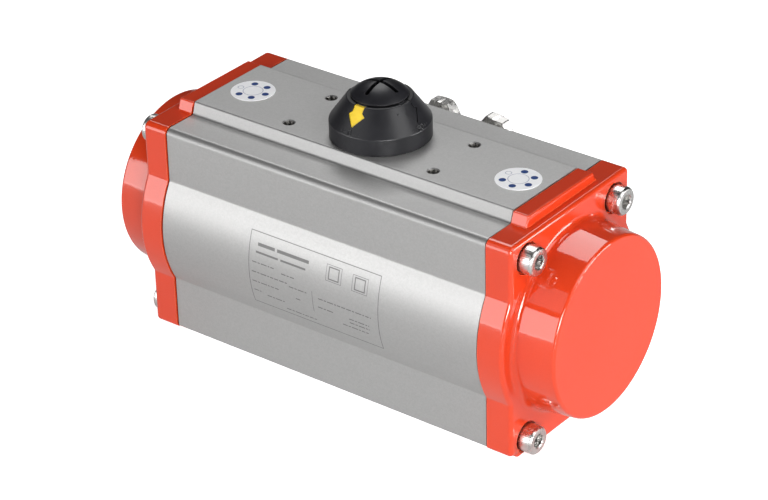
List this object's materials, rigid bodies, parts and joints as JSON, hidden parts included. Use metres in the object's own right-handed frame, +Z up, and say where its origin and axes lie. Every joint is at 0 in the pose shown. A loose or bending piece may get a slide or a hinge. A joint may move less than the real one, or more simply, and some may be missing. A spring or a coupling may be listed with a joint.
{
  "type": "rotary pneumatic actuator",
  "caption": "Quarter-turn rack-and-pinion pneumatic actuator with an extruded body, deep red end caps, a domed position indicator, travel stops and spring return.",
  "frame": {"origin": "centre of the output shaft on the bottom valve-mounting face", "axes": "+Z up along the output shaft, +X along the cylinder bore towards the right end cap, +Y towards the air ports and travel stops"},
  "size_m": [0.2438, 0.119, 0.1371],
  "materials": {
    "anodised_body": "satin matte hard-anodised extrusion",
    "red_paint": "glossy powder coat",
    "gasket_rubber": "matte",
    "stainless": "bright turned stainless",
    "shaft_steel": "nickel-plated",
    "bearing_plastic": "natural acetal",
    "oring_rubber": "matte",
    "indicator_black": "satin moulded",
    "indicator_yellow": "satin",
    "piston_alloy": "die-cast, machined",
    "spring_steel": "epoxy dipped",
    "seat_plastic": "moulded",
    "sticker_white": "printed vinyl"
  },
  "bodies": {
    "housing": {"body": "anodised_body", "end_cap_right": "red_paint", "end_cap_left": "red_paint", "cap_gasket_right": "gasket_rubber", "cap_gasket_left": "gasket_rubber", "cap_screws_right": "stainless", "cap_screws_left": "stainless", "shaft_bearing_top": "bearing_plastic", "shaft_bearing_bottom": "bearing_plastic", "thrust_bearing": "bearing_plastic", "stop_nuts": "stainless", "stop_washers": "stainless", "stop_orings": "oring_rubber", "sticker_discs": "sticker_white", "spring_seats_outer_right": "seat_plastic", "spring_seats_outer_left": "seat_plastic", "springs_right": "spring_steel", "springs_left": "spring_steel"},
    "shaft_group": {"drive_shaft": "shaft_steel", "stop_cam": "shaft_steel", "shaft_oring_top": "oring_rubber", "shaft_oring_bottom": "oring_rubber", "thrust_washer": "stainless", "snap_ring": "spring_steel", "indicator_housing": "indicator_black", "indicator_arrows": "indicator_yellow", "indicator_blanks": "indicator_black", "indicator_screw": "indicator_black"},
    "right_stop": {"stop_screw_right": "stainless"},
    "left_stop": {"stop_screw_left": "stainless"},
    "right_piston": {"piston_right": "piston_alloy", "piston_oring_right": "oring_rubber", "piston_guide_ring_right": "bearing_plastic", "piston_slide_pad_right": "bearing_plastic", "spring_seats_inner_right": "seat_plastic"},
    "left_piston": {"piston_left": "piston_alloy", "piston_oring_left": "oring_rubber", "piston_guide_ring_left": "bearing_plastic", "piston_slide_pad_left": "bearing_plastic", "spring_seats_inner_left": "seat_plastic"}
  },
  "joints": [
    {"name": "shaft_turn", "type": "hinge", "parent": "housing", "child": "shaft_group", "pos_m": [0, 0, 0], "axis": [0, 0, 1], "range_deg": [0, 90]},
    {"name": "right_piston_slide", "type": "slide", "parent": "housing", "child": "right_piston", "axis": [1, 0, 0], "range_m": [0, 0.02518], "deforming": ["springs_right"]},
    {"name": "left_piston_slide", "type": "slide", "parent": "housing", "child": "left_piston", "axis": [-1, 0, 0], "range_m": [0, 0.02518], "deforming": ["springs_left"]},
    {"name": "right_stop_adjust", "type": "slide", "parent": "housing", "child": "right_stop", "axis": [0, 1, 0], "range_m": [0, 0.004]},
    {"name": "left_stop_adjust", "type": "slide", "parent": "housing", "child": "left_stop", "axis": [0, 1, 0], "range_m": [0, 0.004]}
  ],
  "couplings": [
    {"joint": "right_piston_slide", "follows": "shaft_turn", "m_per_rad": 0.016},
    {"joint": "left_piston_slide", "follows": "shaft_turn", "m_per_rad": 0.016}
  ]
}
